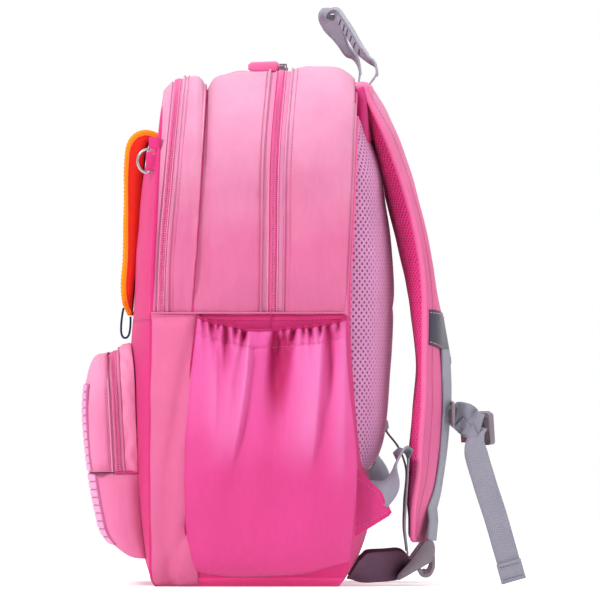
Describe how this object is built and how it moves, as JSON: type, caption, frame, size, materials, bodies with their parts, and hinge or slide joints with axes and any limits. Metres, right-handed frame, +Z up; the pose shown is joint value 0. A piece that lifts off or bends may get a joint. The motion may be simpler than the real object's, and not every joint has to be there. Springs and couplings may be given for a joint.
{
  "type": "school backpack",
  "caption": "Child's school backpack with main and organiser compartments, zipped front pocket, gathered side pockets, padded back and straps, sternum strap and haul handle.",
  "frame": {"origin": "centre of the flat base that the bag stands on", "axes": "+Z up, -Y to the pocket side, +Y to the wearer's side, +X to the wearer's right"},
  "size_m": [0.3144, 0.3571, 0.468],
  "materials": {
    "light_fabric": "woven polyester, light pink, slight sheen",
    "hot_fabric": "woven polyester, hot pink",
    "side_fabric": "thin woven polyester, hot pink, gathered on elastic",
    "dark_fabric": "woven polyester, deep pink",
    "zip_tape": "coil zip on woven tape, pink",
    "air_mesh": "three-dimensional spacer mesh, lilac pink",
    "strap_fabric": "woven polyester over foam, pink",
    "webbing": "woven nylon webbing, grey",
    "buckle_plastic": "moulded acetal, warm grey, satin",
    "ring_metal": "plated steel wire",
    "slider_metal": "die-cast zinc, plated",
    "puller_rubber": "soft moulded puller, pink",
    "stud_plate": "moulded silicone with raised square studs, lilac pink",
    "flap_foam": "neoprene-like foam sheet, bright orange with a yellow-orange face",
    "pull_cord": "braided cord, navy",
    "base_fabric": "coated base fabric, deep pink"
  },
  "bodies": {
    "bag": {"base_panel": "base_fabric", "lower_side_right": "light_fabric", "lower_side_left": "light_fabric", "lower_front_panel": "hot_fabric", "lower_divider": "light_fabric", "back_panel": "light_fabric", "rear_gusset": "light_fabric", "main_zip_rear_tape": "zip_tape", "pocket_base": "light_fabric", "pocket_rim": "light_fabric", "pocket_zip_rear_tape": "zip_tape", "stud_plate_lower": "stud_plate", "side_pocket_right": "side_fabric", "side_pocket_left": "side_fabric", "back_pad": "air_mesh", "yoke": "dark_fabric", "wing_tab_right": "dark_fabric", "wing_tab_left": "dark_fabric", "lower_webbing_right": "webbing", "lower_webbing_left": "webbing"},
    "front_section": {"main_zip_front_tape": "zip_tape", "front_gusset": "light_fabric", "upper_divider": "light_fabric", "organiser_gusset": "light_fabric", "organiser_zip_rear_tape": "zip_tape"},
    "organiser_front": {"organiser_zip_front_tape": "zip_tape", "upper_front_panel": "hot_fabric", "ring_tab_right": "hot_fabric", "ring_tab_left": "hot_fabric"},
    "flap": {"flap": "flap_foam", "pull_cord": "pull_cord"},
    "ring_right": {"d_ring_right": "ring_metal"},
    "ring_left": {"d_ring_left": "ring_metal"},
    "main_slider_right": {"main_right_slider": "slider_metal"},
    "main_puller_right": {"main_right_puller": "puller_rubber"},
    "main_slider_left": {"main_left_slider": "slider_metal"},
    "main_puller_left": {"main_left_puller": "puller_rubber"},
    "organiser_slider": {"organiser_slider": "slider_metal"},
    "organiser_puller": {"organiser_puller": "puller_rubber"},
    "pocket_front": {"pocket_front": "light_fabric", "pocket_zip_front_tape": "zip_tape", "stud_plate_upper": "stud_plate"},
    "pocket_slider": {"pocket_slider": "slider_metal"},
    "pocket_puller": {"pocket_puller": "puller_rubber"},
    "strap_right": {"shoulder_strap_right": "strap_fabric", "strap_webbing_right": "webbing", "webbing_tail_right": "webbing"},
    "strap_left": {"shoulder_strap_left": "strap_fabric", "strap_webbing_left": "webbing", "webbing_tail_left": "webbing"},
    "lock_right": {"ladder_lock_right": "buckle_plastic"},
    "lock_left": {"ladder_lock_left": "buckle_plastic"},
    "keeper_right": {"sternum_keeper_right": "buckle_plastic"},
    "keeper_left": {"sternum_keeper_left": "buckle_plastic"},
    "sternum_right": {"sternum_webbing_right": "webbing", "buckle_plug": "buckle_plastic", "sternum_tail": "webbing"},
    "sternum_left": {"sternum_webbing_left": "webbing", "buckle_socket": "buckle_plastic"},
    "handle": {"haul_handle": "webbing"}
  },
  "joints": [
    {"name": "front_section_open", "type": "hinge", "parent": "bag", "child": "front_section", "pos_m": [0, -0.097, 0.213], "axis": [1, 0, 0], "range_deg": [0, 45], "deforming": ["pull_cord"]},
    {"name": "organiser_open", "type": "hinge", "parent": "front_section", "child": "organiser_front", "pos_m": [0, -0.097, 0.213], "axis": [1, 0, 0], "range_deg": [0, 30]},
    {"name": "flap_lift", "type": "hinge", "parent": "organiser_front", "child": "flap", "pos_m": [0, -0.0796, 0.366], "axis": [-1, 0, 0], "range_deg": [0, 110]},
    {"name": "ring_right_swing", "type": "hinge", "parent": "organiser_front", "child": "ring_right", "pos_m": [0.1278, -0.0802, 0.3408], "axis": [0, 0, 1], "range_deg": [-70, 70]},
    {"name": "ring_left_swing", "type": "hinge", "parent": "organiser_front", "child": "ring_left", "pos_m": [-0.1278, -0.0802, 0.3408], "axis": [0, 0, 1], "range_deg": [-70, 70]},
    {"name": "main_slider_right_run", "type": "slide", "parent": "front_section", "child": "main_slider_right", "axis": [1, 0, 0], "range_m": [0, 0.04]},
    {"name": "main_puller_right_lift", "type": "hinge", "parent": "main_slider_right", "child": "main_puller_right", "pos_m": [0.012, 0.0264, 0.41855], "axis": [-1, 0, 0], "range_deg": [0, 150]},
    {"name": "main_slider_left_run", "type": "slide", "parent": "front_section", "child": "main_slider_left", "axis": [-1, 0, 0], "range_m": [0, 0.04]},
    {"name": "main_puller_left_lift", "type": "hinge", "parent": "main_slider_left", "child": "main_puller_left", "pos_m": [-0.012, 0.0264, 0.41855], "axis": [-1, 0, 0], "range_deg": [0, 150]},
    {"name": "organiser_slider_run", "type": "slide", "parent": "front_section", "child": "organiser_slider", "axis": [0, 0.0753, 0.9972], "range_m": [0, 0.045]},
    {"name": "organiser_puller_lift", "type": "hinge", "parent": "organiser_slider", "child": "organiser_puller", "pos_m": [-0.14385, -0.0699, 0.262], "axis": [0, 1, 0], "range_deg": [0, 120]},
    {"name": "pocket_front_open", "type": "hinge", "parent": "bag", "child": "pocket_front", "pos_m": [0, -0.138, 0.0912], "axis": [1, 0, 0], "range_deg": [0, 45]},
    {"name": "pocket_slider_run", "type": "slide", "parent": "bag", "child": "pocket_slider", "axis": [0, -0.0524, 0.9986], "range_m": [0, 0.022]},
    {"name": "pocket_puller_lift", "type": "hinge", "parent": "pocket_slider", "child": "pocket_puller", "pos_m": [-0.10585, -0.10734, 0.128], "axis": [0, 1, 0], "range_deg": [0, 120]},
    {"name": "strap_right_swing", "type": "hinge", "parent": "bag", "child": "strap_right", "pos_m": [0, 0.0895, 0.4015], "axis": [1, 0, 0], "range_deg": [0, 8]},
    {"name": "strap_left_swing", "type": "hinge", "parent": "bag", "child": "strap_left", "pos_m": [0, 0.0895, 0.4015], "axis": [1, 0, 0], "range_deg": [0, 8]},
    {"name": "lock_right_tilt", "type": "hinge", "parent": "strap_right", "child": "lock_right", "pos_m": [0.074, 0.1453, 0.035], "axis": [1, 0, 0], "range_deg": [0, 12]},
    {"name": "lock_left_tilt", "type": "hinge", "parent": "strap_left", "child": "lock_left", "pos_m": [-0.074, 0.1453, 0.035], "axis": [1, 0, 0], "range_deg": [0, 12]},
    {"name": "keeper_right_run", "type": "slide", "parent": "strap_right", "child": "keeper_right", "axis": [0, 0.045, 0.999], "range_m": [0, 0.022]},
    {"name": "keeper_left_run", "type": "slide", "parent": "strap_left", "child": "keeper_left", "axis": [0, 0.045, 0.999], "range_m": [0, 0.022]},
    {"name": "sternum_right_swing", "type": "hinge", "parent": "keeper_right", "child": "sternum_right", "pos_m": [0.0696, 0.1665, 0.137], "axis": [0, 0, 1], "range_deg": [0, 30]},
    {"name": "sternum_left_swing", "type": "hinge", "parent": "keeper_left", "child": "sternum_left", "pos_m": [-0.0696, 0.1665, 0.137], "axis": [0, 0, -1], "range_deg": [0, 30]},
    {"name": "handle_tilt", "type": "hinge", "parent": "bag", "child": "handle", "pos_m": [0, 0.094, 0.408], "axis": [1, 0, 0], "range_deg": [-50, 20]}
  ]
}
